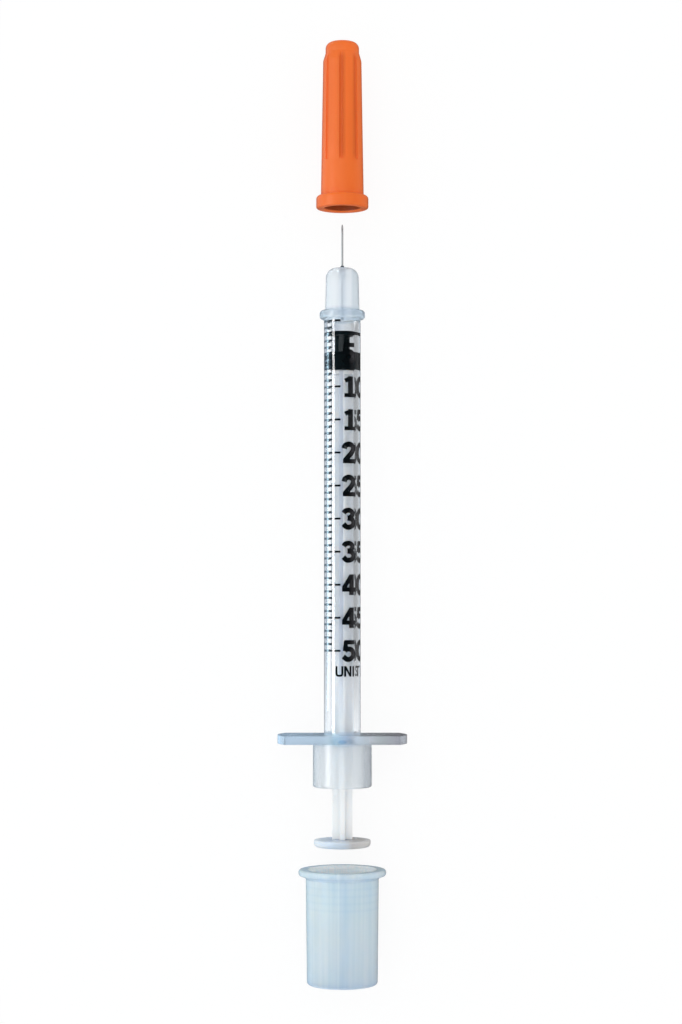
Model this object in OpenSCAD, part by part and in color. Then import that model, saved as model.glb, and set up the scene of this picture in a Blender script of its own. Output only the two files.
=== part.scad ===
// Insulin syringe with its needle shield and its plunger cap drawn off, all on one axis.
// The axis lies along Y with the needle towards +Y, at the height of the cap's rolling edge.
// Positions along the axis are counted from the zero mark of the scale, positive to the needle.

/* [Barrel tube] */
// Inside diameter of the barrel, which sets how far apart the scale marks stand
bore_d = 3.62; // [3.5:0.02:3.9]
// Wall of the barrel tube
tube_wall = 0.89; // [0.8:0.01:1.1]
// Zero mark to the front of the finger flange
tube_len = 61.1; // [58:0.1:68]
// Zero mark to the end wall of the bore
dead_gap = 0.1; // [0.05:0.05:0.3]
// Zero mark to the rear of the collar ring
ring_gap = 0.38; // [0.1:0.02:0.8]
// Outside diameter of the collar ring
ring_d = 6.7; // [6.3:0.1:7.2]
// Thickness of the collar ring
ring_len = 1.3; // [1.1:0.1:2]
// Rounding of the collar ring's two outer edges
ring_corner = 0.45; // [0.2:0.05:0.5]

/* [Needle hub] */
// Diameter of the hub where it leaves the collar ring
hub_base_d = 5.12; // [5:0.02:5.3]
// How much narrower the hub is at its nose
hub_taper = 0.27; // [0.05:0.01:0.4]
// Length of the hub from the collar ring to its nose
hub_len = 6.3; // [5.5:0.1:7]
// Rounding of the hub's nose
hub_nose_r = 1.45; // [0.8:0.05:1.45]
// Mouth of the funnel in the nose
well_d = 1.8; // [1.2:0.1:1.8]
// Floor of the funnel
well_floor_d = 0.7; // [0.6:0.05:1]
// Depth of the funnel
well_depth = 2; // [1.2:0.1:3]

/* [Finger flange and skirt] */
// Width of the finger flange across its rounded ends
flange_w = 19.2; // [16:0.1:22]
// How far the flange's flat sides stand outside the skirt
flange_side = 0.15; // [0.05:0.05:1.2]
// Thickness of the finger flange
flange_len = 1.25; // [1:0.05:1.5]
// Diameter of the round moulding gate on one flat side
gate_d = 2.3; // [1.6:0.1:2.6]
// How far the gate stands out of that flat side
gate_proud = 0.35; // [0.1:0.05:0.5]
// How deep the gate reaches in from that flat side
gate_root = 0.8; // [0.4:0.1:1.2]
// Gate centre behind the middle of the flange
gate_back = 0.3; // [0:0.05:0.4]
// Outside diameter of the skirt behind the flange
skirt_d = 8.7; // [8.2:0.1:8.8]
// Length of the skirt behind the flange
skirt_len = 6.5; // [5:0.1:8]
// Wall of the skirt
skirt_wall = 0.9; // [0.6:0.05:1.2]
// Rounding of the skirt's free edge
skirt_corner = 0.3; // [0.1:0.05:0.4]
// Widening of the bore where the stopper goes in
lead_in = 0.5; // [0.2:0.05:0.7]

/* [Needle] */
// Outside diameter of the needle
needle_d = 0.3; // [0.23:0.01:0.4]
// Inside diameter of the needle
needle_bore_d = 0.16; // [0.1:0.01:0.2]
// Length of needle that stands out of the hub
needle_out = 6.5; // [4:0.1:8]
// Angle between the needle's ground face and its axis, in degrees
bevel_angle = 14; // [11:1:25]

/* [Adhesive] */
// Diameter of the bead of adhesive at the foot of the needle
bead_d = 0.75; // [0.6:0.05:1]
// Diameter of the bead where it ends on the needle
bead_top_d = 0.42; // [0.42:0.02:0.5]
// Height of the bead above the nose
bead_len = 0.35; // [0.1:0.05:0.6]

/* [Stopper] */
// How far the stopper is drawn back from the zero mark
drawn_back = 1.5; // [0.5:0.1:5]
// Thickness of the front disc that the scale is read at
disc_len = 0.64; // [0.5:0.02:1]
// Diameter of the waist between the disc and the rear band
waist_d = 2.22; // [2:0.02:2.6]
// Length of the waist
waist_len = 2.34; // [1.5:0.02:3]
// Length of the rear band
band_len = 2.77; // [2.6:0.01:4]
// Rounding of the stopper's sealing edges
seal_corner = 0.14; // [0.05:0.01:0.2]

/* [Plunger rod] */
// Gap between the crossed blades and the bore
blade_gap = 0.31; // [0.26:0.01:0.5]
// Thickness of each blade
blade_t = 0.8; // [0.5:0.05:1.1]
// Thumb disc behind the skirt when the plunger is fully in
thumb_out = 6.32; // [2:0.02:12]
// Thickness of the round shoulder that pushes the stopper
shoulder_len = 0.6; // [0.4:0.1:1.5]
// Gap between that shoulder and the bore
shoulder_gap = 0.2; // [0.1:0.01:0.2]
// Diameter of the knob held inside the stopper
knob_d = 1.6; // [1.4:0.05:1.8]
// Length of the knob
knob_len = 0.9; // [0.6:0.05:1]
// Diameter of the neck behind the knob
neck_d = 0.9; // [0.7:0.05:1.1]
// Length of the neck
neck_len = 1; // [0.7:0.05:1.2]
// Diameter of the thumb disc
thumb_d = 8.4; // [7.6:0.05:8.5]
// Thickness of the thumb disc
thumb_len = 1.05; // [0.9:0.05:1.1]
// Rounding of the thumb disc's rear edge
thumb_corner = 0.55; // [0.3:0.05:0.6]
// Rounding of the thumb disc's front edge
thumb_front_corner = 0.15; // [0.1:0.05:0.2]

/* [Needle shield] */
// Needle shield drawn off from the collar ring
shield_off = 15.1; // [10:0.1:30]
// Length of the needle shield
shield_len = 24.6; // [23:0.1:30]
// Diameter of the collar at the mouth
collar_d = 7.73; // [7.2:0.01:8]
// Length of that collar
collar_len = 1.9; // [1.2:0.1:3]
// Rounding of the collar's edge on the mouth side
collar_mouth_corner = 0.25; // [0.1:0.05:0.4]
// Rounding of the collar's edge towards the tip
collar_corner = 0.5; // [0.2:0.05:0.7]
// Wall of the shield over the hub
shield_wall = 0.55; // [0.5:0.01:0.7]
// How much narrower the shield is below its shoulder than next to its collar
shield_taper = 0.66; // [0.3:0.02:0.8]
// Length of the narrow tip
tip_len = 1.6; // [1.2:0.1:3]
// Length of the sloping shoulder behind the narrow tip
shoulder_slope = 1.2; // [0.8:0.1:2]
// How far the shoulder steps in to the narrow tip
tip_step = 0.36; // [0.2:0.01:0.5]
// Rounding of the tip
tip_corner = 0.95; // [0.5:0.05:1.1]
// Number of grooves between the ribs
groove_count = 8; // [6:1:10]
// Width of a groove
groove_w = 0.56; // [0.3:0.02:0.7]
// Mouth to the step where the grooves begin
groove_start = 7; // [4:0.1:12]
// Turn of the first groove, in degrees
groove_turn = -3; // [-20:1:20]
// Flare of the bore at the mouth
mouth_flare = 0.22; // [0.1:0.02:0.3]
// Room between the hub's nose and the end of the bore that covers it
nose_gap = 0.9; // [0.4:0.1:2]
// Diameter of the chamber over the needle
chamber_d = 3.4; // [2.6:0.1:3.6]
// Thickness of the shield's end wall
end_wall = 1.6; // [1.1:0.1:2.5]

/* [Plunger cap] */
// Plunger cap drawn off behind the thumb disc
cap_gap = 3.33; // [1:0.01:20]
// Room left in the closed cap behind the thumb disc
cap_spare = 2.28; // [0.5:0.02:6]
// Wall of the cap
cap_wall = 0.8; // [0.7:0.05:1.2]
// How much narrower the cap is at its closed end
cap_taper = 0.3; // [0.1:0.05:0.5]
// How far the lip stands out
lip_reach = 1.1; // [0.8:0.05:2]
// Thickness of the lip
lip_len = 0.95; // [0.9:0.05:1.3]
// Rounding of the lip's edge
lip_corner = 0.4; // [0.2:0.05:0.4]
// Reach of the sloping corner under the lip
lip_fillet = 0.45; // [0.2:0.05:0.6]
// Rounding of the closed end
cap_corner = 0.5; // [0.3:0.05:0.8]
// Thickness of the closed end
cap_floor = 0.9; // [0.6:0.05:1]
// Widening of the cap's mouth
cap_lead_in = 0.5; // [0.2:0.05:0.5]
// Number of thin ribs along the inside
rib_count = 32; // [24:1:36]
// Width of an inside rib
rib_w = 0.3; // [0.2:0.05:0.35]
// Height of an inside rib
rib_h = 0.1; // [0.06:0.01:0.12]
// Mouth to the first inside ring
bead_ring_start = 2.4; // [1.5:0.1:4]
// Distance from one inside ring to the next
bead_ring_pitch = 1.05; // [0.8:0.05:1.2]
// Radius of an inside ring's section
bead_ring_r = 0.12; // [0.06:0.01:0.12]
// Number of inside rings
bead_ring_count = 4; // [2:1:5]

/* [Fits] */
// Radial clearance between the stopper and the bore
stopper_fit = 0.02; // [0.01:0.01:0.05]
// Clearance around the knob and neck inside the stopper
knob_fit = 0.04; // [0.02:0.01:0.08]
// Radial clearance between the shield and the hub
shield_fit = 0.06; // [0.02:0.01:0.1]
// Radial clearance between the cap's inside rings and the skirt
cap_fit = 0.13; // [0.05:0.01:0.2]
// Thickness of the bond line around the needle and in the funnel
bond_gap = 0.01; // [0.005:0.005:0.02]

/* [Hidden] */
// Extra length by which a cut reaches past the face it opens through
overcut = 0.5;
tube_d = bore_d + 2 * tube_wall;
hub_tip_d = hub_base_d - hub_taper;
flange_depth = skirt_d + 2 * flange_side;
rod_w = bore_d - 2 * blade_gap;
shoulder_d = bore_d - 2 * shoulder_gap;
shield_bore_d = hub_base_d + 2 * shield_fit;
shield_base_d = shield_bore_d + 2 * shield_wall;
shield_top_d = shield_base_d - shield_taper;
tip_d = shield_top_d - 2 * tip_step;
cap_bore_d = skirt_d + 2 * cap_fit + 2 * bead_ring_r;
cap_d = cap_bore_d + 2 * cap_wall;
cap_end_d = cap_d - cap_taper;
cap_len = skirt_len + thumb_out + thumb_len + cap_spare + cap_floor;
lip_d = cap_d + 2 * lip_reach;
ring_front = ring_gap + ring_len;
hub_front = ring_front + hub_len;
needle_tip = hub_front + needle_out;
flange_back = -tube_len - flange_len;
skirt_back = flange_back - skirt_len;
stopper_len = disc_len + waist_len + band_len;
stopper_back = -drawn_back - stopper_len;
stopper_r = bore_d / 2 - stopper_fit;
rod_len = -stopper_len - skirt_back + thumb_out;
thumb_back = stopper_back - rod_len - thumb_len;
shield_mouth = ring_front + shield_off;
shield_tip = shield_mouth + shield_len;
cap_front = thumb_back - cap_gap;
cap_back = cap_front - cap_len;
zero_y = (-cap_back - shield_tip) / 2;
axis_z = lip_d / 2;
needle_hole_r = needle_d / 2 + bond_gap;
skirt_bore_r = skirt_d / 2 - skirt_wall;
well_spread = (well_d - well_floor_d) / 2 / well_depth;
slope_low = shield_len - tip_len - shoulder_slope;
groove_len = shield_len - groove_start;
shield_draft = atan((shield_base_d - shield_top_d) / 2 / (slope_low - collar_len));
$fn = 40;
corner_fn = 16;

// Lays a piece that is built upwards from the zero mark along the axis of the syringe
module along_axis(position = 0) {
  translate([0, zero_y + position, axis_z])
    rotate([-90, 0, 0])
      children();
}

// Half-section of a turned disc with its lower and upper outer edges rounded
module disc_section(radius, length, low_corner, high_corner) {
  square([radius - low_corner, length - high_corner]);
  translate([0, low_corner])
    square([radius - high_corner, length - low_corner]);
  translate([0, low_corner])
    square([radius, length - low_corner - high_corner]);
  translate([radius - low_corner, low_corner])
    circle(r = low_corner, $fn = corner_fn);
  translate([radius - high_corner, length - high_corner])
    circle(r = high_corner, $fn = corner_fn);
}

// Half-section of a slightly conical bar with a rounded nose at its upper end
module nose_section(base_r, nose_r, length, corner) {
  polygon([
    [0, 0],
    [base_r, 0],
    [nose_r, length - corner],
    [0, length - corner]
  ]);
  square([nose_r - corner, length]);
  translate([nose_r - corner, length - corner])
    intersection() {
      circle(r = corner, $fn = corner_fn);
      square([corner, corner]);
    }
}

module barrel_shell() {
  translate([0, 0, ring_front - ring_len / 2])
    rotate_extrude()
      nose_section(hub_base_d / 2, hub_tip_d / 2, ring_len / 2 + hub_len, hub_nose_r);
  translate([0, 0, ring_gap])
    rotate_extrude()
      disc_section(ring_d / 2, ring_len, ring_corner, ring_corner);
  translate([0, 0, flange_back + flange_len / 2])
    cylinder(h = flange_len / 2 + tube_len + ring_front - ring_len / 2, d = tube_d);
  translate([0, 0, skirt_back])
    rotate_extrude()
      disc_section(skirt_d / 2, skirt_len + flange_len / 2, skirt_corner, skirt_corner);
  translate([0, 0, flange_back])
    linear_extrude(height = flange_len)
      intersection() {
        circle(d = flange_w);
        square([flange_w, flange_depth], center = true);
      }
  translate([0, gate_root - flange_depth / 2, flange_back + flange_len / 2 - gate_back])
    rotate([90, 0, 0])
      cylinder(h = gate_root + gate_proud, d = gate_d);
}

// The hollow right through the barrel: skirt, bore, needle hole and funnel in one turning
module barrel_hollow() {
  rotate_extrude()
    polygon([
      [0, skirt_back - overcut],
      [skirt_bore_r, skirt_back - overcut],
      [skirt_bore_r, flange_back],
      [bore_d / 2 + lead_in / 2, flange_back],
      [bore_d / 2, flange_back + lead_in],
      [bore_d / 2, dead_gap],
      [needle_hole_r, dead_gap],
      [needle_hole_r, hub_front - well_depth],
      [well_floor_d / 2, hub_front - well_depth],
      [well_d / 2 + overcut * well_spread, hub_front + overcut],
      [0, hub_front + overcut]
    ]);
}

module barrel() {
  color([0.86, 0.91, 0.95, 0.55])
    along_axis()
      difference() {
        barrel_shell();
        barrel_hollow();
      }
}

module needle_cannula() {
  color([0.72, 0.73, 0.75])
    along_axis()
      difference() {
        translate([0, 0, dead_gap])
          cylinder(h = needle_tip - dead_gap, d = needle_d);
        translate([0, 0, dead_gap - overcut])
          cylinder(h = needle_tip - dead_gap + 2 * overcut, d = needle_bore_d);
        translate([0, needle_d / 2, needle_tip])
          rotate([90 - bevel_angle, 0, 0])
            translate([-needle_d, -needle_out, 0])
              cube([2 * needle_d, needle_out + needle_d, needle_out]);
      }
}

module needle_adhesive() {
  color([0.55, 0.57, 0.6, 0.8])
    along_axis(hub_front)
      rotate_extrude()
        polygon([
          [needle_hole_r, bond_gap - well_depth],
          [well_floor_d / 2 - bond_gap, bond_gap - well_depth],
          [well_d / 2 - bond_gap, 0],
          [bead_d / 2, 0],
          [bead_top_d / 2, bead_len],
          [needle_hole_r, bead_len]
        ]);
}

module plunger_stopper() {
  color([0.09, 0.13, 0.14])
    along_axis(stopper_back)
      difference() {
        union() {
          rotate_extrude()
            disc_section(stopper_r, band_len, seal_corner, seal_corner);
          cylinder(h = stopper_len - disc_len / 2, d = waist_d);
          translate([0, 0, stopper_len - disc_len])
            rotate_extrude()
              disc_section(stopper_r, disc_len, seal_corner, seal_corner);
        }
        translate([0, 0, -overcut])
          cylinder(h = neck_len + overcut, d = neck_d + 2 * knob_fit);
        translate([0, 0, neck_len - knob_fit])
          cylinder(h = knob_len + 2 * knob_fit, d = knob_d + 2 * knob_fit);
      }
}

module plunger_rod() {
  color([0.93, 0.93, 0.93])
    along_axis(stopper_back) {
      translate([0, 0, neck_len])
        cylinder(h = knob_len, d = knob_d);
      translate([0, 0, -knob_fit - shoulder_len / 2])
        cylinder(h = neck_len + knob_fit + shoulder_len, d = neck_d);
      translate([0, 0, -knob_fit - shoulder_len])
        cylinder(h = shoulder_len, d = shoulder_d);
      for (turn = [0, 90])
        rotate([0, 0, turn])
          translate([-rod_w / 2, -blade_t / 2, -rod_len - thumb_len / 2])
            cube([rod_w, blade_t, rod_len + thumb_len / 2 - knob_fit - shoulder_len / 2]);
      translate([0, 0, -rod_len - thumb_len])
        rotate_extrude()
          disc_section(thumb_d / 2, thumb_len, thumb_corner, thumb_front_corner);
    }
}

module shield_body() {
  rotate_extrude()
    disc_section(collar_d / 2, collar_len, collar_mouth_corner, collar_corner);
  rotate_extrude() {
    polygon([
      [0, 0],
      [shield_base_d / 2, 0],
      [shield_base_d / 2, collar_len],
      [shield_top_d / 2, slope_low],
      [tip_d / 2, slope_low + shoulder_slope],
      [tip_d / 2, shield_len - tip_corner],
      [0, shield_len - tip_corner]
    ]);
    square([tip_d / 2 - tip_corner, shield_len]);
    translate([tip_d / 2 - tip_corner, shield_len - tip_corner])
      circle(r = tip_corner, $fn = corner_fn);
  }
}

module shield_chamber() {
  rotate_extrude()
    polygon([
      [0, -overcut],
      [shield_bore_d / 2 + mouth_flare + overcut, -overcut],
      [shield_bore_d / 2, mouth_flare],
      [shield_bore_d / 2, hub_len + nose_gap],
      [chamber_d / 2, hub_len + nose_gap + shield_bore_d / 2 - chamber_d / 2],
      [chamber_d / 2, shield_len - end_wall],
      [0, shield_len - end_wall]
    ]);
}

module needle_shield() {
  color([0.93, 0.44, 0.2])
    along_axis(shield_mouth)
      difference() {
        shield_body();
        shield_chamber();
        for (i = [0 : groove_count - 1])
          rotate([0, 0, groove_turn - 90 + i * 360 / groove_count])
            translate([shield_base_d / 2, 0, collar_len])
              rotate([0, -shield_draft, 0])
                translate([0, 0, groove_start - collar_len])
                  cylinder(h = groove_len, d = groove_w, $fn = corner_fn);
      }
}

module cap_shell() {
  rotate_extrude() {
    polygon([
      [0, cap_corner],
      [cap_end_d / 2, cap_corner],
      [cap_d / 2, cap_len - lip_len - lip_fillet],
      [cap_d / 2 + lip_fillet, cap_len - lip_len],
      [cap_d / 2 + lip_fillet, cap_len - lip_len / 2],
      [0, cap_len - lip_len / 2]
    ]);
    square([cap_end_d / 2 - cap_corner, cap_len / 2]);
    translate([cap_end_d / 2 - cap_corner, cap_corner])
      circle(r = cap_corner, $fn = corner_fn);
    translate([0, cap_len - lip_len])
      disc_section(lip_d / 2, lip_len, lip_corner, lip_corner);
  }
}

module cap_cavity() {
  ribbed_len = cap_len - cap_floor - bead_ring_start - bead_ring_count * bead_ring_pitch;
  translate([0, 0, cap_floor])
    linear_extrude(height = ribbed_len + overcut)
      difference() {
        circle(d = cap_bore_d);
        for (i = [0 : rib_count - 1])
          rotate(i * 360 / rib_count)
            translate([cap_bore_d / 2 - rib_h, -rib_w / 2])
              square([2 * rib_h, rib_w]);
      }
  translate([0, 0, cap_floor + ribbed_len])
    difference() {
      cylinder(h = cap_len - cap_floor - ribbed_len + overcut, d = cap_bore_d);
      for (i = [0 : bead_ring_count - 1])
        translate([0, 0, cap_len - cap_floor - ribbed_len - bead_ring_start - i * bead_ring_pitch])
          rotate_extrude()
            translate([cap_bore_d / 2, 0])
              circle(r = bead_ring_r, $fn = corner_fn);
    }
  translate([0, 0, cap_len - cap_lead_in])
    cylinder(h = cap_lead_in + overcut, d1 = cap_bore_d, d2 = cap_bore_d + 2 * cap_lead_in + 2 * overcut);
}

module plunger_cap() {
  color([0.78, 0.87, 0.93, 0.8])
    along_axis(cap_back)
      difference() {
        cap_shell();
        cap_cavity();
      }
}

needle_shield();
needle_cannula();
needle_adhesive();
barrel();
plunger_stopper();
plunger_rod();
plunger_cap();
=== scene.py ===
"""Looks of the insulin syringe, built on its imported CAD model.

Everything is in metres, in the CAD frame: the syringe's axis lies along Y, with the needle towards +Y.
"""

import math

import bmesh
import bpy
from mathutils import Matrix, Vector


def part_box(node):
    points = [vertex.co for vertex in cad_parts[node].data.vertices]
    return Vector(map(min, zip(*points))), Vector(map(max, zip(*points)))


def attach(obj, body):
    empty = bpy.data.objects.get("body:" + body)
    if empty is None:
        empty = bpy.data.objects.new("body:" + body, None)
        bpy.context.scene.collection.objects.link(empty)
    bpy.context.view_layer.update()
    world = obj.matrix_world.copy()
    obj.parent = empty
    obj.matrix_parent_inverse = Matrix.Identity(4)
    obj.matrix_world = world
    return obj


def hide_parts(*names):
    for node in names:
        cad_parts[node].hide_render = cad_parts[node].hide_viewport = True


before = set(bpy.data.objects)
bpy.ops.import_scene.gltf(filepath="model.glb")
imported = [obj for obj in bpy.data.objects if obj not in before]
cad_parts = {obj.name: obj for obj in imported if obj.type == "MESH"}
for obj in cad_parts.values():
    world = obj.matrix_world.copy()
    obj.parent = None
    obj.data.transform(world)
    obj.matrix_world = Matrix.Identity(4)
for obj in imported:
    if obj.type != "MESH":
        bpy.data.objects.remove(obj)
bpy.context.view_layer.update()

MM = 0.001
WHITE = (1, 1, 1)
BLACK = (0, 0, 0)
scene = bpy.context.scene

# Where the pieces begin and end, from the boxes of their CAD nodes
barrel_low, barrel_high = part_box("barrel")
cap_low, cap_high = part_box("plunger_cap")
shield_low, shield_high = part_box("needle_shield")
rod_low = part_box("plunger_rod")[0]
AXIS_Z = (cap_low.z + cap_high.z) / 2
SKIRT_END = barrel_low.y
HUB_FRONT = barrel_high.y
CAP_END = cap_low.y
CAP_MOUTH = cap_high.y
SHIELD_TIP = shield_high.y

# Sizes of the CAD model that the looks follow, the cap's in the middle of its wall
SKIRT_LENGTH = 6.5 * MM
FLANGE_THICKNESS = 1.25 * MM
NOSE_LENGTH = 6.3 * MM
ZERO_TO_HUB_FRONT = 7.98 * MM
TUBE_R = 2.7 * MM
BORE_D = 3.62 * MM
SHIELD_BORE_R = 2.62 * MM
GROOVES_FROM_MOUTH = 7 * MM
CAP_WALL_R = 5.1 * MM
DISC_THICKNESS = 1.05 * MM

# Places along the syringe that follow from both
FLANGE_BACK = SKIRT_END + SKIRT_LENGTH
FLANGE_FRONT = FLANGE_BACK + FLANGE_THICKNESS
RING_FRONT = HUB_FRONT - NOSE_LENGTH
ZERO_Y = HUB_FRONT - ZERO_TO_HUB_FRONT
GROOVES_BACK = shield_low.y + GROOVES_FROM_MOUTH
DISC_FRONT = rod_low.y + DISC_THICKNESS
GATE = (0, FLANGE_BACK + 0.4 * MM, AXIS_Z + 4.7 * MM)

# One insulin unit is 10 cubic millimetres of the bore
UNIT_VOLUME = 10 * MM**3
UNIT = UNIT_VOLUME / (math.pi / 4 * BORE_D**2)

# Rows and scales in the photograph's frame of 682 by 1024 pixels, at the height of the axis
FRAME_H = 1024
FOCAL_PX = 2200
SIGHT_ROW = 600
CAMERA_LEFT_PX = 1.3
ZERO_ROW = 322.1
PX_PER_MM = 6.75
# The same on top of the tube, which is nearer to the camera
TOP_ZERO_ROW = 319.9
TOP_WORD_ROW = 671.7
TOP_PX_PER_MM = 6.81


# Materials


def material(name):
    """A new material, with its node tree and its shader."""
    m = bpy.data.materials.new(name)
    m.use_nodes = True
    tree = m.node_tree
    shader = tree.nodes["Principled BSDF"]
    return m, tree, shader


def object_noise(tree, scale, stretch=(1, 1, 1), detail=3):
    """Noise in the object's own metres, stretched along the syringe where asked."""
    coords = tree.nodes.new("ShaderNodeTexCoord")
    mapping = tree.nodes.new("ShaderNodeMapping")
    mapping.inputs["Scale"].default_value = stretch
    noise = tree.nodes.new("ShaderNodeTexNoise")
    noise.inputs["Scale"].default_value = scale
    noise.inputs["Detail"].default_value = detail
    tree.links.new(coords.outputs["Object"], mapping.inputs["Vector"])
    tree.links.new(mapping.outputs["Vector"], noise.inputs["Vector"])
    return noise.outputs["Fac"]


def two_tone(tree, factor, dark, light, low=0.3, high=0.7):
    """One colour up to the low value, the other from the high value on."""
    ramp = tree.nodes.new("ShaderNodeValToRGB")
    ramp.color_ramp.elements[0].position = low
    ramp.color_ramp.elements[1].position = high
    ramp.color_ramp.elements[0].color = (*dark, 1)
    ramp.color_ramp.elements[1].color = (*light, 1)
    tree.links.new(factor, ramp.inputs["Fac"])
    return ramp.outputs["Color"]


def graded(tree, value, stops):
    """A colour that changes with a value, from (value, colour) pairs."""
    first, last = stops[0][0], stops[-1][0]
    remap = tree.nodes.new("ShaderNodeMapRange")
    remap.inputs["From Min"].default_value = first
    remap.inputs["From Max"].default_value = last
    ramp = tree.nodes.new("ShaderNodeValToRGB")
    while len(ramp.color_ramp.elements) < len(stops):
        ramp.color_ramp.elements.new(0.5)
    for element, (place, colour) in zip(ramp.color_ramp.elements, stops):
        element.position = (place - first) / (last - first)
        element.color = (*colour, 1)
    tree.links.new(value, remap.inputs["Value"])
    tree.links.new(remap.outputs[0], ramp.inputs["Fac"])
    return ramp.outputs["Color"]


def object_place(tree, axis):
    """The place along one of the object's own axes, in metres."""
    coords = tree.nodes.new("ShaderNodeTexCoord")
    split = tree.nodes.new("ShaderNodeSeparateXYZ")
    tree.links.new(coords.outputs["Object"], split.inputs[0])
    return split.outputs[axis]


def along_syringe(tree, stops):
    """A colour that changes along the syringe, from (place in metres, colour) pairs."""
    return graded(tree, object_place(tree, "Y"), stops)


def across_syringe(tree, stops):
    """A colour that changes across the syringe, from (millimetres right of its axis, colour) pairs."""
    return graded(tree, object_place(tree, "X"), [(place * MM, colour) for place, colour in stops])


def distance_from(tree, centre, stretch):
    """Distance from a point, each axis stretched by its own factor and left out where that is 0."""
    coords = tree.nodes.new("ShaderNodeTexCoord")
    away = tree.nodes.new("ShaderNodeVectorMath")
    away.operation = "SUBTRACT"
    away.inputs[1].default_value = centre
    scaled = tree.nodes.new("ShaderNodeVectorMath")
    scaled.operation = "MULTIPLY"
    scaled.inputs[1].default_value = stretch
    size = tree.nodes.new("ShaderNodeVectorMath")
    size.operation = "LENGTH"
    tree.links.new(coords.outputs["Object"], away.inputs[0])
    tree.links.new(away.outputs[0], scaled.inputs[0])
    tree.links.new(scaled.outputs[0], size.inputs[0])
    return size.outputs["Value"]


def from_axis(tree):
    """Distance from the syringe's axis."""
    return distance_from(tree, (0, 0, AXIS_Z), (1, 0, 1))


def maths(tree, operation, first, second):
    """A calculation with two values, each of them a socket or a number."""
    node = tree.nodes.new("ShaderNodeMath")
    node.operation = operation
    for value, socket in ((first, node.inputs[0]), (second, node.inputs[1])):
        if isinstance(value, (int, float)):
            socket.default_value = value
        else:
            tree.links.new(value, socket)
    return node.outputs[0]


def turned_away(tree):
    """Where a point is round the axis: -1 on the left side, 0 on top or below, 1 on the right side."""
    return maths(tree, "DIVIDE", object_place(tree, "X"), from_axis(tree))


def multiplied(tree, first, *others):
    for other in others:
        both = tree.nodes.new("ShaderNodeMix")
        both.data_type = "RGBA"
        both.blend_type = "MULTIPLY"
        both.inputs["Factor"].default_value = 1
        tree.links.new(first, both.inputs["A"])
        tree.links.new(other, both.inputs["B"])
        first = both.outputs["Result"]
    return first


def chosen(tree, factor, first, second):
    """The first colour where the factor is 0, the second where it is 1."""
    pick = tree.nodes.new("ShaderNodeMix")
    pick.data_type = "RGBA"
    tree.links.new(factor, pick.inputs["Factor"])
    tree.links.new(first, pick.inputs["A"])
    tree.links.new(second, pick.inputs["B"])
    return pick.outputs["Result"]


def plain(tree, colour=WHITE):
    node = tree.nodes.new("ShaderNodeRGB")
    node.outputs[0].default_value = (*colour, 1)
    return node.outputs[0]


def only_where(tree, place, shades):
    """The shades where the place is white, and white elsewhere."""
    return chosen(tree, place, plain(tree), shades)


def grey(value):
    return (value, value, value)


def bump(tree, shader, height_socket, strength, distance):
    node = tree.nodes.new("ShaderNodeBump")
    node.inputs["Strength"].default_value = strength
    node.inputs["Distance"].default_value = distance
    tree.links.new(height_socket, node.inputs["Height"])
    tree.links.new(node.outputs["Normal"], shader.inputs["Normal"])


def shield_outline(tree):
    """A little shade at the shield's left and right sides."""
    shades = (
        (-1.0, (0.80, 0.80, 0.92)),
        (-0.96, (0.93, 0.93, 0.97)),
        (-0.92, WHITE),
        (0.92, WHITE),
        (0.96, (0.92, 0.92, 0.96)),
        (1.0, (0.77, 0.78, 0.88)),
    )
    return graded(tree, turned_away(tree), shades)


def shield_grooves(tree):
    """Shade in the groove on top and in the next one on its right."""
    shades = (
        (-0.8, WHITE),
        (-0.35, (0.84, 0.80, 0.76)),
        (0.15, (0.80, 0.76, 0.72)),
        (0.6, WHITE),
        (1.4, (0.97, 0.97, 0.97)),
        (1.7, (0.84, 0.80, 0.76)),
        (2.0, (0.86, 0.84, 0.80)),
        (2.3, WHITE),
    )
    grooved = (
        (GROOVES_BACK - 0.4 * MM, BLACK),
        (GROOVES_BACK + 0.8 * MM, WHITE),
        (SHIELD_TIP - 2.6 * MM, WHITE),
        (SHIELD_TIP - 1.6 * MM, BLACK),
    )
    return only_where(tree, along_syringe(tree, grooved), across_syringe(tree, shades))


def shield_inside(tree):
    """Painted shade inside the shield's hollow, wide near the mouth and narrow round the needle, and none in
    the solid tip.
    """
    dark = (0.45, 0.44, 0.76)
    chamber_r = 1.9 * MM
    blend = 0.1 * MM
    away = from_axis(tree)
    by_mouth = graded(tree, away, ((SHIELD_BORE_R, dark), (SHIELD_BORE_R + blend, WHITE)))
    deeper = graded(tree, away, ((chamber_r, dark), (chamber_r + blend, WHITE)))
    depth = along_syringe(tree, ((GROOVES_BACK - 0.6 * MM, BLACK), (GROOVES_BACK, WHITE)))
    hollow = chosen(tree, depth, by_mouth, deeper)
    solid_end = along_syringe(tree, ((SHIELD_TIP - 2.2 * MM, BLACK), (SHIELD_TIP - 2 * MM, WHITE)))
    return chosen(tree, solid_end, hollow, plain(tree))


def orange_shield():
    m, tree, s = material("orange_moulded_plastic")
    noise = object_noise(tree, 260, (1, 0.25, 1), 4)
    moulded = two_tone(tree, noise, (0.82, 0.146, 0.016), (0.90, 0.170, 0.024))
    shades = shield_outline(tree), shield_inside(tree), shield_grooves(tree)
    tree.links.new(multiplied(tree, moulded, *shades), s.inputs["Base Color"])
    s.inputs["Roughness"].default_value = 0.42
    s.inputs["IOR"].default_value = 1.5
    s.inputs["Specular IOR Level"].default_value = 0.3
    s.inputs["Subsurface Weight"].default_value = 0.15
    s.inputs["Subsurface Radius"].default_value = (1.0, 0.35, 0.1)
    s.inputs["Subsurface Scale"].default_value = 0.6 * MM
    bump(tree, s, object_noise(tree, 2600, (1, 0.4, 1)), 0.08, 0.05 * MM)
    return m


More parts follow.
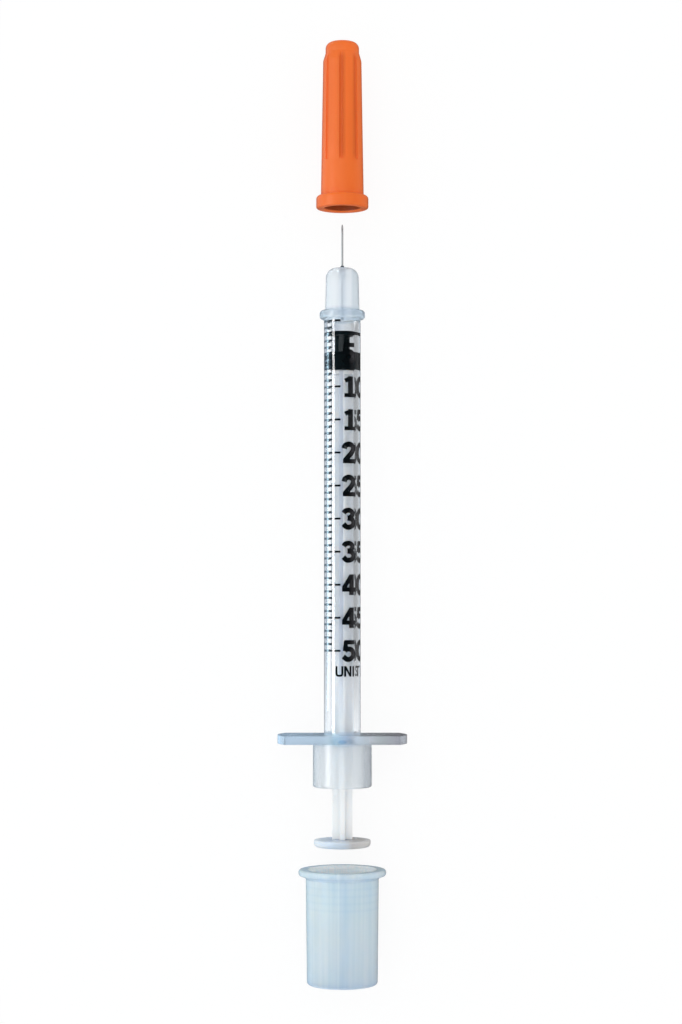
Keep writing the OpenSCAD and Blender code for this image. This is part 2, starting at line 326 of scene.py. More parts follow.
def barrel_zones(skirt, flange, tube, ring, hub):
    """Stops for along_syringe that give each stretch of the barrel its own grey or colour."""
    values = [v if isinstance(v, tuple) else grey(v) for v in (skirt, flange, tube, ring, hub)]
    return (
        (SKIRT_END, values[0]),
        (FLANGE_BACK - 0.3 * MM, values[0]),
        (FLANGE_BACK, values[1]),
        (FLANGE_FRONT, values[1]),
        (FLANGE_FRONT + 0.6 * MM, values[2]),
        (ZERO_Y, values[2]),
        (ZERO_Y + 0.2 * MM, values[3]),
        (RING_FRONT, values[3]),
        (RING_FRONT + 0.4 * MM, values[4]),
        (HUB_FRONT, values[4]),
    )


def flange_shades(tree):
    """Painted light and shade across the flange: blue light on its left wing, paler round the gate, and
    greyer shade on its right wing.
    """
    wing_light_and_shade = (
        (-3.0, (0.64, 0.76, 0.87)),
        (-1.2, (0.74, 0.91, 1.0)),
        (0.6, (0.68, 0.79, 0.94)),
        (2.4, (0.72, 0.80, 0.87)),
        (4.2, (0.66, 0.68, 0.71)),
        (6.0, (0.54, 0.57, 0.58)),
        (8.0, (0.51, 0.50, 0.54)),
        (9.6, (0.66, 0.65, 0.68)),
    )
    on_flange = along_syringe(tree, barrel_zones(0.0, 1.0, 0.0, 0.0, 0.0))
    return only_where(tree, on_flange, across_syringe(tree, wing_light_and_shade))


def skirt_shades(tree):
    """Shade at the skirt's right wall."""
    wall = (
        (2.8, WHITE),
        (3.3, (0.80, 0.82, 0.84)),
        (4.4, (0.78, 0.80, 0.82)),
    )
    on_skirt = along_syringe(tree, barrel_zones(1.0, 0.0, 0.0, 0.0, 0.0))
    return only_where(tree, on_skirt, across_syringe(tree, wall))


def nose_shades(tree):
    """The darker core under the needle, and the shadier right side of hub and ring."""
    core = (
        (-0.8, WHITE),
        (-0.1, (0.86, 0.90, 0.95)),
        (0.3, (0.86, 0.90, 0.95)),
        (0.7, (0.98, 0.99, 1.0)),
        (1.2, (0.97, 0.98, 0.99)),
        (1.6, (0.76, 0.81, 0.83)),
        (2.1, (0.76, 0.81, 0.83)),
        (3.4, (0.92, 0.94, 0.95)),
    )
    on_nose = along_syringe(tree, barrel_zones(0.0, 0.0, 0.0, 1.0, 1.0))
    return only_where(tree, on_nose, across_syringe(tree, core))


def gate_shades(tree):
    """Painted shade at the moulding gate: a bluer spot with a pale and a darker ring round it."""
    spot = (
        (0, (0.52, 0.68, 0.80)),
        (0.30 * MM, (0.58, 0.74, 0.85)),
        (0.46 * MM, WHITE),
        (0.62 * MM, (0.84, 0.92, 0.97)),
        (0.85 * MM, WHITE),
    )
    return graded(tree, distance_from(tree, GATE, (0.5, 1, 1)), spot)


def clear_barrel():
    m, tree, s = material("translucent_barrel_plastic")
    skirt, flange, tube = (0.985, 0.995, 1.0), WHITE, (0.985, 0.99, 0.995)
    ring, hub = (0.86, 0.93, 0.985), WHITE
    tint = along_syringe(tree, barrel_zones(skirt, flange, tube, ring, hub))
    cloud = two_tone(tree, object_noise(tree, 700), (0.96, 0.97, 0.98), WHITE, 0, 1)
    shades = gate_shades(tree), skirt_shades(tree), flange_shades(tree), nose_shades(tree)
    colour = multiplied(tree, tint, cloud, *shades)
    tree.links.new(colour, s.inputs["Base Color"])
    clearness = along_syringe(tree, barrel_zones(0.84, 0.70, 0.997, 0.70, 0.6))
    tree.links.new(clearness, s.inputs["Transmission Weight"])
    roughness = along_syringe(tree, barrel_zones(0.27, 0.22, 0.05, 0.25, 0.2))
    tree.links.new(roughness, s.inputs["Roughness"])
    s.inputs["IOR"].default_value = 1.49
    bump(tree, s, object_noise(tree, 900, (1, 0.05, 1)), 0.012, 0.04 * MM)
    volume = tree.nodes.new("ShaderNodeVolumeAbsorption")
    volume.inputs["Color"].default_value = (0.145, 0.52, 0.83, 1)
    volume.inputs["Density"].default_value = 16
    tree.links.new(volume.outputs["Volume"], tree.nodes["Material Output"].inputs["Volume"])
    return m


def black_rubber():
    m, tree, s = material("black_stopper_rubber")
    noise = object_noise(tree, 900, detail=4)
    colour = two_tone(tree, noise, (0.0003, 0.002, 0.003), (0.0008, 0.005, 0.007))
    tree.links.new(colour, s.inputs["Base Color"])
    s.inputs["Roughness"].default_value = 0.5
    s.inputs["Specular IOR Level"].default_value = 0.03
    bump(tree, s, object_noise(tree, 3000), 0.15, 0.04 * MM)
    return m


def rod_shades(tree):
    """Inside the barrel, shade on the left of the rod's upper blade and at its right edge."""
    blade = (
        (-0.55, WHITE),
        (-0.4, (0.66, 0.68, 0.74)),
        (0.05, (0.62, 0.64, 0.70)),
        (0.2, WHITE),
        (0.6, WHITE),
        (0.9, (0.94, 0.94, 0.95)),
        (1.2, (0.83, 0.84, 0.86)),
        (1.4, (0.75, 0.76, 0.78)),
    )
    in_barrel = along_syringe(tree, ((FLANGE_FRONT, BLACK), (FLANGE_FRONT + 12 * MM, WHITE)))
    return only_where(tree, in_barrel, across_syringe(tree, blade))


def white_rod():
    m, tree, s = material("white_rod_plastic")
    cloud = two_tone(tree, object_noise(tree, 300, (1, 0.2, 1), 4), (0.95, 0.95, 0.95), WHITE)
    # The disc is painted darker than the blades, with painted light and shade: lighter and bluer on the left,
    # darker and greyer on the right.
    disc_light_and_shade = (
        (-3.8, (0.76, 0.80, 0.85)),
        (-2.0, (0.62, 0.69, 0.79)),
        (0.4, (0.55, 0.60, 0.66)),
        (1.5, (0.51, 0.49, 0.48)),
        (3.6, (0.60, 0.58, 0.56)),
    )
    on_disc = along_syringe(tree, ((DISC_FRONT, WHITE), (DISC_FRONT + 0.2 * MM, BLACK)))
    tone = chosen(tree, on_disc, plain(tree, (0.87, 0.875, 0.88)), across_syringe(tree, disc_light_and_shade))
    tree.links.new(multiplied(tree, tone, cloud, rod_shades(tree)), s.inputs["Base Color"])
    s.inputs["Roughness"].default_value = 0.38
    s.inputs["Subsurface Weight"].default_value = 1.0
    s.inputs["Subsurface Radius"].default_value = (0.9, 1.0, 1.1)
    s.inputs["Subsurface Scale"].default_value = 1.2 * MM
    bump(tree, s, object_noise(tree, 2200, (1, 0.3, 1)), 0.06, 0.04 * MM)
    return m


def cap_stripes(tree):
    """Shade of the cap's thicker closed end, of the rings inside near its mouth and under its lip."""
    stops = [
        (CAP_END, (0.82, 0.84, 0.92)),
        (CAP_END + 0.5 * MM, (0.86, 0.88, 0.95)),
        (CAP_END + 0.8 * MM, (0.92, 0.93, 0.96)),
    ]
    ring_count = 4
    ring_spacing = 1.05 * MM
    ring_half_width = 0.3 * MM
    first_ring = CAP_MOUTH - 5.55 * MM
    for i in range(ring_count):
        ring = first_ring + ring_spacing * i
        stops.append((ring - ring_half_width, WHITE))
        stops.append((ring, (0.94, 0.96, 0.985)))
        stops.append((ring + ring_half_width, WHITE))
    stops += [
        (CAP_MOUTH - 1.4 * MM, WHITE),
        (CAP_MOUTH - 1.1 * MM, (0.86, 0.89, 0.94)),
        (CAP_MOUTH - 0.6 * MM, (0.92, 0.94, 0.97)),
        (CAP_MOUTH - 0.3 * MM, WHITE),
    ]
    return along_syringe(tree, stops)


def cap_parting(tree):
    """A painted highlight left of the cap's middle, as a pale line with painted shade on both sides of it."""
    shades = (
        (-2.0, (0.96, 0.97, 0.99)),
        (-0.9, (0.90, 0.93, 0.97)),
        (-0.6, WHITE),
        (-0.5, WHITE),
        (-0.3, (0.85, 0.89, 0.94)),
        (0.6, (0.86, 0.90, 0.95)),
        (1.4, (0.94, 0.955, 0.97)),
    )
    return across_syringe(tree, shades)


def cloudy_cap():
    m, tree, s = material("cloudy_cap_plastic")
    ribs = object_noise(tree, 3000, (1, 0.008, 1), 2)
    streaks = two_tone(tree, ribs, (0.93, 0.96, 0.975), WHITE, 0.4, 0.6)
    cloudiness = object_noise(tree, 330, (1, 0.3, 1))
    clouds = two_tone(tree, cloudiness, (0.76, 0.88, 0.99), (0.87, 0.935, 0.99))
    outside = multiplied(tree, streaks, clouds, cap_parting(tree), cap_stripes(tree))
    # Inside the cap, a paler blue with the same streaks: painted light that brightens the shaded hollow.
    inside_painted_light = two_tone(tree, ribs, (0.86, 0.96, 1.0), (0.97, 1.0, 1.0), 0.4, 0.6)
    off_end = along_syringe(tree, ((CAP_END + 0.8 * MM, BLACK), (CAP_END + 0.9 * MM, WHITE)))
    inside = chosen(tree, off_end, outside, inside_painted_light)
    away = from_axis(tree)
    inner, outer = CAP_WALL_R - 0.05 * MM, CAP_WALL_R + 0.05 * MM
    in_bore = graded(tree, away, ((inner, WHITE), (outer, BLACK)))
    tree.links.new(chosen(tree, in_bore, outside, inside), s.inputs["Base Color"])
    clearness = graded(tree, away, ((inner, grey(0.1)), (outer, grey(0.38))))
    tree.links.new(clearness, s.inputs["Transmission Weight"])
    s.inputs["Roughness"].default_value = 0.25
    s.inputs["IOR"].default_value = 1.45
    s.inputs["Subsurface Weight"].default_value = 1.0
    s.inputs["Subsurface Radius"].default_value = (0.9, 1.0, 1.1)
    s.inputs["Subsurface Scale"].default_value = 1.0 * MM
    bump(tree, s, object_noise(tree, 2400, (1, 0.012, 1), 2), 0.12, 0.08 * MM)
    return m


def needle_steel():
    m, tree, s = material("needle_steel")
    noise = object_noise(tree, 2500, (1, 0.05, 1), 4)
    colour = two_tone(tree, noise, (0.44, 0.45, 0.455), (0.53, 0.54, 0.545))
    tree.links.new(colour, s.inputs["Base Color"])
    s.inputs["Metallic"].default_value = 0.3
    s.inputs["Roughness"].default_value = 0.5
    bump(tree, s, object_noise(tree, 9000, (1, 0.05, 1)), 0.1, 0.01 * MM)
    return m


def clear_resin():
    m, tree, s = material("cured_adhesive")
    depth = (
        (HUB_FRONT - 1.6 * MM, (0.97, 0.98, 0.99)),
        (HUB_FRONT - 0.7 * MM, (0.80, 0.86, 0.92)),
        (HUB_FRONT - 0.1 * MM, (0.42, 0.47, 0.53)),
        (HUB_FRONT, (0.22, 0.26, 0.31)),
    )
    cloud = two_tone(tree, object_noise(tree, 1200, detail=4), (0.92, 0.94, 0.96), WHITE)
    tree.links.new(multiplied(tree, along_syringe(tree, depth), cloud), s.inputs["Base Color"])
    s.inputs["Roughness"].default_value = 0.12
    s.inputs["IOR"].default_value = 1.49
    s.inputs["Transmission Weight"].default_value = 0.7
    bump(tree, s, object_noise(tree, 2600), 0.1, 0.02 * MM)
    return m


def black_ink():
    m, tree, s = material("black_scale_ink")
    noise = object_noise(tree, 2600, detail=4)
    colour = two_tone(tree, noise, (0.001, 0.001, 0.002), (0.004, 0.004, 0.005))
    tree.links.new(colour, s.inputs["Base Color"])
    s.inputs["Roughness"].default_value = 0.06
    s.inputs["IOR"].default_value = 1.49
    s.inputs["Specular IOR Level"].default_value = 0.6
    s.inputs["Coat Weight"].default_value = 1.0
    s.inputs["Coat Roughness"].default_value = 0.05
    bump(tree, s, object_noise(tree, 6000), 0.05, 0.01 * MM)
    return m


INK = black_ink()
for node, make in (
    ("needle_shield", orange_shield),
    ("needle_cannula", needle_steel),
    ("needle_adhesive", clear_resin),
    ("barrel", clear_barrel),
    ("plunger_stopper", black_rubber),
    ("plunger_rod", white_rod),
    ("plunger_cap", cloudy_cap),
):
    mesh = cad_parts[node].data
    mesh.materials.clear()
    mesh.materials.append(make())


# Stopper, pressed against the bore as the real rubber is


def lathe(name, profile, sides, mat, body):
    """A closed profile of (radius, place along the axis) in millimetres, turned about the syringe's axis."""
    bm = bmesh.new()
    rings = []
    for r, y in profile:
        ring = []
        for k in range(sides):
            turn = 2 * math.pi * k / sides
            ring.append(bm.verts.new((r * MM * math.sin(turn), y * MM, AXIS_Z + r * MM * math.cos(turn))))
        rings.append(ring)
    for a, b in zip(rings, rings[1:] + rings[:1]):
        for k in range(sides):
            n = (k + 1) % sides
            bm.faces.new((a[k], a[n], b[n], b[k]))
    bmesh.ops.remove_doubles(bm, verts=bm.verts, dist=1e-8)
    bmesh.ops.recalc_face_normals(bm, faces=bm.faces)
    mesh = bpy.data.meshes.new(name)
    bm.to_mesh(mesh)
    bm.free()
    for p in mesh.polygons:
        p.use_smooth = True
    mesh.set_sharp_from_angle(angle=math.radians(40))
    mesh.materials.append(mat)
    o = bpy.data.objects.new(name, mesh)
    scene.collection.objects.link(o)
    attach(o, body)
    return o


def corner(r, y, turn_from, turn_to, size, steps=6):
    """A rounded edge about the centre (r, y), in degrees from pointing outwards towards the needle."""
    out = []
    for k in range(steps + 1):
        turn = math.radians(turn_from + (turn_to - turn_from) * k / steps)
        out.append((r + size * math.cos(turn), y + size * math.sin(turn)))
    return out


def rubber_stopper():
    """The CAD stopper's shape, its two sealing bands squeezed against the bore so that no air shows there."""
    low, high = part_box("plunger_stopper")
    front, back = high.y / MM, low.y / MM
    squeeze = 0.012
    seal = BORE_D / MM / 2 + squeeze
    edge = 0.14
    waist, chamfer = 1.11, 0.12
    disc_length, band_length = 0.64, 2.77
    disc_back, band_front = front - disc_length, back + band_length
    # The pocket for the rod's knob: its narrow neck, its wide part, and a point's width at its closed end
    neck, knob, closed = 0.49, 0.84, 0.0002
    knob_back, knob_front = back + 0.96, back + 1.94
    profile = [(neck, back), (seal - edge, back)]
    profile += corner(seal - edge, back + edge, -90, 0, edge)
    profile += corner(seal - edge, band_front - edge, 0, 90, edge)
    profile += [(waist + chamfer, band_front), (waist, band_front + chamfer)]
    profile += [(waist, disc_back - chamfer), (waist + chamfer, disc_back)]
    profile += corner(seal - edge, disc_back + edge, -90, 0, edge)
    profile += corner(seal - edge, front - edge, 0, 90, edge)
    profile += [(closed, front), (closed, knob_front)]
    profile += [(knob, knob_front), (knob, knob_back), (neck, knob_back)]
    stopper = lathe("stopper_rubber", profile, sides=96, mat=black_rubber(), body="stopper")
    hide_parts("plunger_stopper")


rubber_stopper()


# Printed scale


def between(a, b, c, d, t):
    """A value on the smooth curve from b to c, with a before them and d after them."""
    return 0.5 * (2 * b + (c - a) * t + (2 * a - 5 * b + 4 * c - d) * t * t + (3 * b - a - 3 * c + d) * t**3)


def smooth_path(points, steps=8):
    """A curve through the points, for the rounded strokes of the figures."""
    out = []
    for i in range(len(points) - 1):
        near = points[max(i - 1, 0)], points[i], points[i + 1], points[min(i + 2, len(points) - 1)]
        for k in range(steps):
            out.append(tuple(between(*values, k / steps) for values in zip(*near)))
    out.append(points[-1])
    return out


def straight_path(points, step=0.06):
    """Straight strokes cut into short lengths, so that they bend round the barrel."""
    out = []
    for (x0, y0), (x1, y1) in zip(points, points[1:]):
        n = max(1, math.ceil(math.hypot(x1 - x0, y1 - y0) / step))
        out += [(x0 + (x1 - x0) * k / n, y0 + (y1 - y0) * k / n) for k in range(n)]
    out.append(points[-1])
    return out


def ring_path(cx, cy, rx, ry, n=40, power=0.93):
    """A closed ring, a little squarer than an ellipse where the power is under 1."""

    def bent(v):
        return math.copysign(abs(v) ** power, v)

    turns = [2 * math.pi * k / n for k in range(n + 1)]
    return [(cx + rx * bent(math.cos(t)), cy + ry * bent(math.sin(t))) for t in turns]


def letter_u_path():
    bowl = [(0.09, 0.34), (0.15, 0.15), (0.375, 0.08), (0.60, 0.15), (0.66, 0.34)]
    left, right = [(0.09, 1.0), (0.09, 0.4)], [(0.66, 0.4), (0.66, 1.0)]
    return straight_path(left) + smooth_path(bowl) + straight_path(right)


# Centre lines of the figures' strokes with their widths, in shares of the figure's height
FIGURES = {
    "0": [(ring_path(0.34, 0.5, 0.235, 0.4), 0.21)],
    "1": [
        (straight_path([(0.425, 0.0), (0.425, 1.0)]), 0.215),
        (straight_path([(0.45, 0.91), (0.14, 0.77)]), 0.17),
        (straight_path([(0.115, 0.075), (0.685, 0.075)]), 0.15),
    ],
    "2": [
        (
            smooth_path(
                [(0.10, 0.69), (0.16, 0.84), (0.34, 0.905), (0.52, 0.83)]
                + [(0.57, 0.68), (0.48, 0.49), (0.29, 0.28), (0.14, 0.1)]
            ),
            0.21,
        ),
        (straight_path([(0.04, 0.085), (0.68, 0.085)]), 0.17),
    ],
    "3": [
        (
            smooth_path(
                [(0.08, 0.76), (0.17, 0.875), (0.34, 0.905), (0.50, 0.83)]
                + [(0.53, 0.71), (0.45, 0.58), (0.27, 0.53)]
            ),
            0.2,
        ),
        (
            smooth_path(
                [(0.27, 0.53), (0.48, 0.49), (0.575, 0.36), (0.56, 0.20)]
                + [(0.41, 0.10), (0.22, 0.095), (0.06, 0.24)]
            ),
            0.2,
        ),
    ],
    "4": [
        (straight_path([(0.48, 0.0), (0.48, 1.0)]), 0.21),
        (straight_path([(0.45, 0.93), (0.08, 0.33)]), 0.17),
        (straight_path([(0.0, 0.27), (0.70, 0.27)]), 0.17),
    ],
    "5": [
        (straight_path([(0.12, 0.915), (0.64, 0.915)]), 0.17),
        (straight_path([(0.2, 0.98), (0.14, 0.48)]), 0.18),
        (
            smooth_path(
                [(0.13, 0.50), (0.26, 0.585), (0.44, 0.565), (0.565, 0.44)]
                + [(0.565, 0.26), (0.43, 0.12), (0.24, 0.09), (0.06, 0.23)]
            ),
            0.2,
        ),
    ],
    "U": [(letter_u_path(), 0.17)],
    "N": [
        (straight_path([(0.09, 0.0), (0.09, 1.0)]), 0.17),
        (straight_path([(0.11, 0.95), (0.60, 0.05)]), 0.16),
        (straight_path([(0.62, 0.0), (0.62, 1.0)]), 0.17),
    ],
    "I": [(straight_path([(0.12, 0.0), (0.12, 1.0)]), 0.17)],
    "T": [
        (straight_path([(0.36, 0.0), (0.36, 1.0)]), 0.17),
        (straight_path([(0.0, 0.925), (0.72, 0.925)]), 0.15),
    ],
    "S": [
        (
            smooth_path(
                [(0.55, 0.78), (0.43, 0.90), (0.24, 0.90), (0.12, 0.76), (0.20, 0.60), (0.42, 0.47)]
                + [(0.54, 0.33), (0.48, 0.16), (0.30, 0.08), (0.13, 0.11), (0.03, 0.26)]
            ),
            0.16,
        )
    ],
}

# Places and sizes of the print, in millimetres round the barrel from its top and along it, and in degrees
INK_R = TUBE_R + 0.012 * MM
# The zero mark, which lies a little nearer to the flange than the CAD model has it
PRINT_SHIFT = 0.06
SCALE_ZERO = ZERO_Y / MM - PRINT_SHIFT
SCALE_UNITS = 50
NUMBERED_EVERY = 5
MARK_THICKNESS = 0.30
MARK_STEP = 0.15
MARKS_FROM_DEG = -96
LONG_MARK_TO_DEG = -5.6
SHORT_MARK_TO_DEG = -33.9
NUMBER_LEFT = -0.03
NUMBER_HEIGHT = 3.04
NUMBER_PITCH = 2.37
NUMBER_WEIGHT = 1.24
WORD_FROM_DEG = -21.5
WORD_HEIGHT = 1.55
WORD_WEIGHT = 1.16
# From the row of the word's middle down to the feet of its letters
WORD_DROP = 0.72
# The letters with the distance to the next one
WORD = (("U", 1.30), ("N", 1.26), ("I", 0.61), ("T", 1.50), ("S", 0))


def stroke_quads(path, width):
    """The outline of a stroke as a strip of flat four-sided faces."""
    closed = math.dist(path[0], path[-1]) < 1e-6
    left, right = [], []
    n = len(path)
    for i, (x, y) in enumerate(path):
        before = path[i - 1] if i else (path[-2] if closed else path[0])
        after = path[i + 1] if i < n - 1 else (path[1] if closed else path[-1])
        dx, dy = after[0] - before[0], after[1] - before[1]
        size = math.hypot(dx, dy)
        nx, ny = -dy / size * width / 2, dx / size * width / 2
        left.append((x + nx, y + ny))
        right.append((x - nx, y - ny))
    return [(left[i], right[i], right[i + 1], left[i + 1]) for i in range(n - 1)]


def round_barrel(degrees):
    """The distance round the barrel at the ink's radius, in millimetres."""
    return math.radians(degrees) * INK_R / MM


def on_barrel(x, y):
    """A point of the flat print, x round the barrel from its top and y along it, in millimetres."""
    turn = x * MM / INK_R
    return Vector((INK_R * math.sin(turn), y * MM, AXIS_Z + INK_R * math.cos(turn)))


def print_on_barrel(name, faces):
    bm = bmesh.new()
    for face in faces:
        bm.faces.new([bm.verts.new(on_barrel(x, y)) for x, y in face])
    bmesh.ops.remove_doubles(bm, verts=bm.verts, dist=1e-7)
    mesh = bpy.data.meshes.new(name)
    bm.to_mesh(mesh)
    bm.free()
    for p in mesh.polygons:
        p.use_smooth = True
    mesh.materials.append(INK)
    o = bpy.data.objects.new(name, mesh)
    scene.collection.objects.link(o)
    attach(o, "barrel")


def mark_faces(from_deg, to_deg, y):
    """The faces of one mark, in lengths short enough to bend round the barrel."""
    x0, x1 = round_barrel(from_deg), round_barrel(to_deg)
    n = max(2, math.ceil(abs(x1 - x0) / MARK_STEP))
    xs = [x0 + (x1 - x0) * k / n for k in range(n + 1)]
    a, b = y - MARK_THICKNESS / 2, y + MARK_THICKNESS / 2
    return [((p, a), (q, a), (q, b), (p, b)) for p, q in zip(xs, xs[1:])]


def figure_faces(figure, x, y, height, weight):
    """The faces of one figure from its lower left corner on, its strokes made bolder by the weight."""
    faces = []
    for path, width in FIGURES[figure]:
        for quad in stroke_quads(path, width * weight):
            faces.append([(x + px * height, y + py * height) for px, py in quad])
    return faces


def print_scale():
    """A mark for each unit, a long one for every fifth, and a number beside each long one but the zero's."""
    marks, numbers = [], []
    for unit in range(SCALE_UNITS + 1):
        numbered = unit % NUMBERED_EVERY == 0
        y = SCALE_ZERO - unit * UNIT / MM
        marks += mark_faces(MARKS_FROM_DEG, LONG_MARK_TO_DEG if numbered else SHORT_MARK_TO_DEG, y)
        if unit and numbered:
            for i, figure in enumerate(str(unit)):
                x = NUMBER_LEFT + i * NUMBER_PITCH
                numbers += figure_faces(figure, x, y - NUMBER_HEIGHT / 2, NUMBER_HEIGHT, NUMBER_WEIGHT)
    print_on_barrel("scale_marks", marks)
    print_on_barrel("scale_numbers", numbers)


def print_word():
    """The word under the scale."""
    word_y = SCALE_ZERO - (TOP_WORD_ROW - TOP_ZERO_ROW) / TOP_PX_PER_MM
    word = []
    x = round_barrel(WORD_FROM_DEG)
    for letter, advance in WORD:
        word += figure_faces(letter, x, word_y - WORD_DROP, WORD_HEIGHT, WORD_WEIGHT)
        x += advance
    print_on_barrel("scale_word", word)


print_scale()
print_word()


# Floor, light and camera

# Painted light and shade on the floor as the tube shows it, by the millimetres to the right of the syringe's
# axis: brighter far to the left, a painted shadow 4.5 mm left of the axis, and darker to the right
FLOOR_LIGHT_AND_SHADE_THROUGH_TUBE = (
    (-18, (1.20, 1.20, 1.20)),
    (-7, (0.88, 0.93, 0.96)),
    (-4.5, (0.26, 0.27, 0.30)),
    (-1.5, (0.62, 0.68, 0.76)),
    (1.5, (0.76, 0.79, 0.81)),
    (3.5, (0.52, 0.53, 0.54)),
    (6, (0.39, 0.40, 0.41)),
    (18, (0.35, 0.355, 0.36)),
)
# Where the tube shows it so, and what the other clear pieces show instead
UNDER_TUBE = (
    (FLANGE_FRONT, BLACK),
    (FLANGE_FRONT + 6 * MM, grey(0.45)),
    (FLANGE_FRONT + 13 * MM, WHITE),
    (RING_FRONT - 1 * MM, WHITE),
    (RING_FRONT, BLACK),
)
FLOOR_PALE = (0.96, 0.98, 1.0)
# Painted reflections: the floor as gloss shows it, by the same millimetres, glowing bright blue far to the
# left, dark near the axis and to its right, greyer far to the right
FLOOR_PAINTED_REFLECTION = (
    (-22, (1.0, 1.2, 1.4)),
    (-14, (1.0, 1.4, 1.8)),
    (-9.5, (0.18, 0.28, 0.38)),
    (3, (0.12, 0.13, 0.14)),
    (9.5, (0.04, 0.04, 0.045)),
    (20, (0.5, 0.5, 0.51)),
)
# How much of the floor is these glowing tones, white to the camera and painted light, shade and reflections
# to the rest, to each kind of ray, and not lit and shaded
PLAIN_SHARES = (("Is Camera Ray", 0.9), ("Is Glossy Ray", 0.95), ("Is Transmission Ray", 0.95))
FLOOR_HALF = 3.0
FLOOR_DROP = 0.02 * MM


def mixed(tree, factor, first, second):
    """The first shader where the factor is 0, the second where it is 1."""
    mix = tree.nodes.new("ShaderNodeMixShader")
    tree.links.new(factor, mix.inputs["Fac"])
    tree.links.new(first, mix.inputs[1])
    tree.links.new(second, mix.inputs[2])
    return mix.outputs[0]


def lit_ray(tree, path):
    """One for a ray that lights a surface, also through clear plastic, and none for one seen directly."""
    return maths(tree, "MINIMUM", path.outputs["Diffuse Depth"], 1)


def plain_share(tree, path):
    """How much of the floor shows its glowing tones, white and painted, and none of it to the rays that light
    surfaces.
    """
    shares = [maths(tree, "MULTIPLY", path.outputs[ray], share) for ray, share in PLAIN_SHARES]
    seen = shares[0]
    for share in shares[1:]:
        seen = maths(tree, "MAXIMUM", seen, share)
    direct = maths(tree, "SUBTRACT", 1, lit_ray(tree, path))
    return maths(tree, "MULTIPLY", seen, direct)


def floor_material():
    m = bpy.data.materials.new("pale_floor")
    m.use_nodes = True
    tree = m.node_tree
    tree.nodes.remove(tree.nodes["Principled BSDF"])
    diffuse = tree.nodes.new("ShaderNodeBsdfDiffuse")
    diffuse.inputs["Color"].default_value = (0.95, 0.95, 0.95, 1)
    path = tree.nodes.new("ShaderNodeLightPath")
    under_tube = along_syringe(tree, UNDER_TUBE)
    # Through the tube the floor shows painted light and shade
    through = chosen(tree, under_tube, plain(tree, FLOOR_PALE), across_syringe(tree, FLOOR_LIGHT_AND_SHADE_THROUGH_TUBE))
    # In gloss the floor shows painted reflections
    seen = chosen(tree, path.outputs["Is Transmission Ray"], across_syringe(tree, FLOOR_PAINTED_REFLECTION), through)
    tone = chosen(tree, path.outputs["Is Camera Ray"], seen, plain(tree))
    glow = tree.nodes.new("ShaderNodeEmission")
    glow.inputs["Strength"].default_value = 1.0
    tree.links.new(tone, glow.inputs["Color"])
    surface = mixed(tree, plain_share(tree, path), diffuse.outputs[0], glow.outputs[0])
    tree.links.new(surface, tree.nodes["Material Output"].inputs["Surface"])
    return m


def pale_floor():
    mesh = bpy.data.meshes.new("floor")
    s = FLOOR_HALF
    mesh.from_pydata([(-s, -s, 0), (s, -s, 0), (s, s, 0), (-s, s, 0)], [], [(0, 1, 2, 3)])
    floor = bpy.data.objects.new("floor", mesh)
    floor.location.z = -FLOOR_DROP
    scene.collection.objects.link(floor)
    mesh.materials.append(floor_material())


def sky(tree, side_colours):
    """A room whose light changes from left to right, by the sine of the angle from overhead."""
    coords = tree.nodes.new("ShaderNodeTexCoord")
    split = tree.nodes.new("ShaderNodeSeparateXYZ")
    tree.links.new(coords.outputs["Generated"], split.inputs[0])
    back = tree.nodes.new("ShaderNodeBackground")
    tree.links.new(graded(tree, split.outputs["X"], side_colours), back.inputs["Color"])
    return back.outputs[0]


# The light that surfaces get, the light inside clear plastic and the ceiling that gloss shows
ROOM = (
    (-1, (0.93, 1.0, 1.0)),
    (0, (0.90, 0.91, 0.92)),
    (1, (0.80, 0.79, 0.79)),
)
INDOORS = (
    (-1, (2.1, 2.15, 2.2)),
    (-0.6, (2.1, 2.15, 2.2)),
    (-0.2, (0.62, 0.67, 0.73)),
    (0.2, (0.62, 0.67, 0.73)),
    (0.6, (2.2, 2.2, 2.2)),
    (1, (2.2, 2.2, 2.2)),
)
CEILING = (
    (-1, (0.8, 1.1, 1.3)),
    (-0.985, (0.45, 0.70, 0.90)),
    (-0.955, (0.08, 0.14, 0.18)),
    (-0.6, (0.02, 0.05, 0.06)),
    (0.7, (0.02, 0.03, 0.035)),
    (0.95, (0.30, 0.30, 0.32)),
)


def soft_world():
    """White to the camera, a pale room to surfaces, a dark ceiling to gloss, the lamps' share in plastic."""
    world = bpy.data.worlds.new("studio")
    scene.world = world
    world.use_nodes = True
    tree = world.node_tree
    white = tree.nodes["Background"]
    white.inputs["Color"].default_value = (1, 1, 1, 1)
    white.inputs["Strength"].default_value = 1.0
    path = tree.nodes.new("ShaderNodeLightPath")
    lighting = mixed(tree, path.outputs["Is Transmission Ray"], sky(tree, ROOM), sky(tree, INDOORS))
    unseen = mixed(tree, lit_ray(tree, path), sky(tree, CEILING), lighting)
    surface = mixed(tree, path.outputs["Is Camera Ray"], unseen, white.outputs[0])
    tree.links.new(surface, tree.nodes["World Output"].inputs["Surface"])


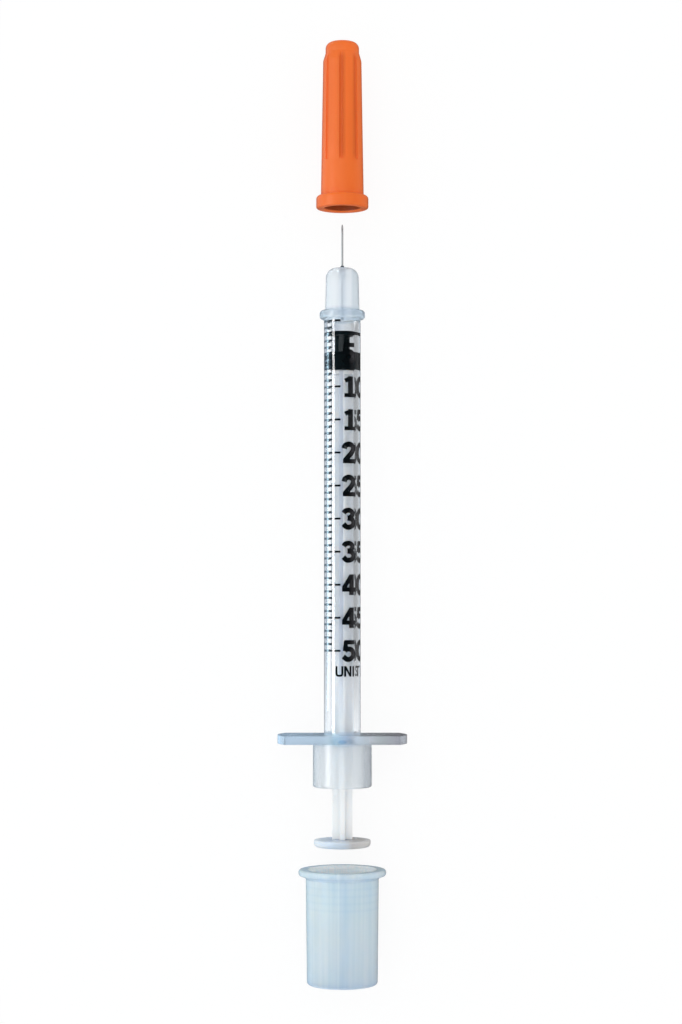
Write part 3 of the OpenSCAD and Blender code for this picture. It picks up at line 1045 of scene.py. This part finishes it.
def area_light(name, place, aim, width, length, watts, colour, shows):
    """A soft lamp, its long side along the syringe. It shows only as gloss, or only lights surfaces."""
    data = bpy.data.lights.new(name, "AREA")
    data.shape = "RECTANGLE"
    data.size = width
    data.size_y = length
    data.energy = watts
    data.color = colour
    lamp = bpy.data.objects.new(name, data)
    scene.collection.objects.link(lamp)
    lamp.location = place
    z = (Vector(place) - Vector(aim)).normalized()
    y = Vector((0, 1, 0))
    x = y.cross(z).normalized()
    y = z.cross(x)
    lamp.rotation_euler = Matrix((x, y, z)).transposed().to_euler()
    lamp.visible_camera = False
    lamp.visible_glossy = shows
    lamp.visible_diffuse = not shows
    lamp.visible_transmission = not shows


def studio_lamps():
    area_light(
        "left_gloss",
        place=(-0.34, -0.002, 0.220),
        aim=(0, -0.002, AXIS_Z),
        width=0.115,
        length=0.175,
        watts=0.85,
        colour=WHITE,
        shows=True,
    )
    area_light(
        "low_gloss",
        place=(-0.0171, -0.0005, 0.0042),
        aim=(-0.0021, -0.0005, 0.0082),
        width=0.0052,
        length=0.059,
        watts=0.0048,
        colour=(0.52, 0.83, 1.0),
        shows=True,
    )
    area_light(
        "key",
        place=(-0.08, 0.05, 0.5),
        aim=(0, 0, AXIS_Z),
        width=0.4,
        length=0.6,
        watts=0.7,
        colour=(0.92, 0.97, 1.0),
        shows=False,
    )


def photo_camera():
    """The photograph looks straight down at the lying syringe, 326 mm above its axis."""
    data = bpy.data.cameras.new("camera")
    data.sensor_width = 36
    data.lens = FOCAL_PX / FRAME_H * data.sensor_width
    data.shift_y = (SIGHT_ROW - FRAME_H / 2) / FRAME_H
    camera = bpy.data.objects.new("camera", data)
    camera.location = (
        -CAMERA_LEFT_PX / PX_PER_MM * MM,
        ZERO_Y - (SIGHT_ROW - ZERO_ROW) / PX_PER_MM * MM,
        AXIS_Z + FOCAL_PX / PX_PER_MM * MM,
    )
    scene.collection.objects.link(camera)
    return camera


pale_floor()
soft_world()
studio_lamps()
bpy.context.scene.camera = photo_camera()

scene.view_settings.view_transform = "Standard"
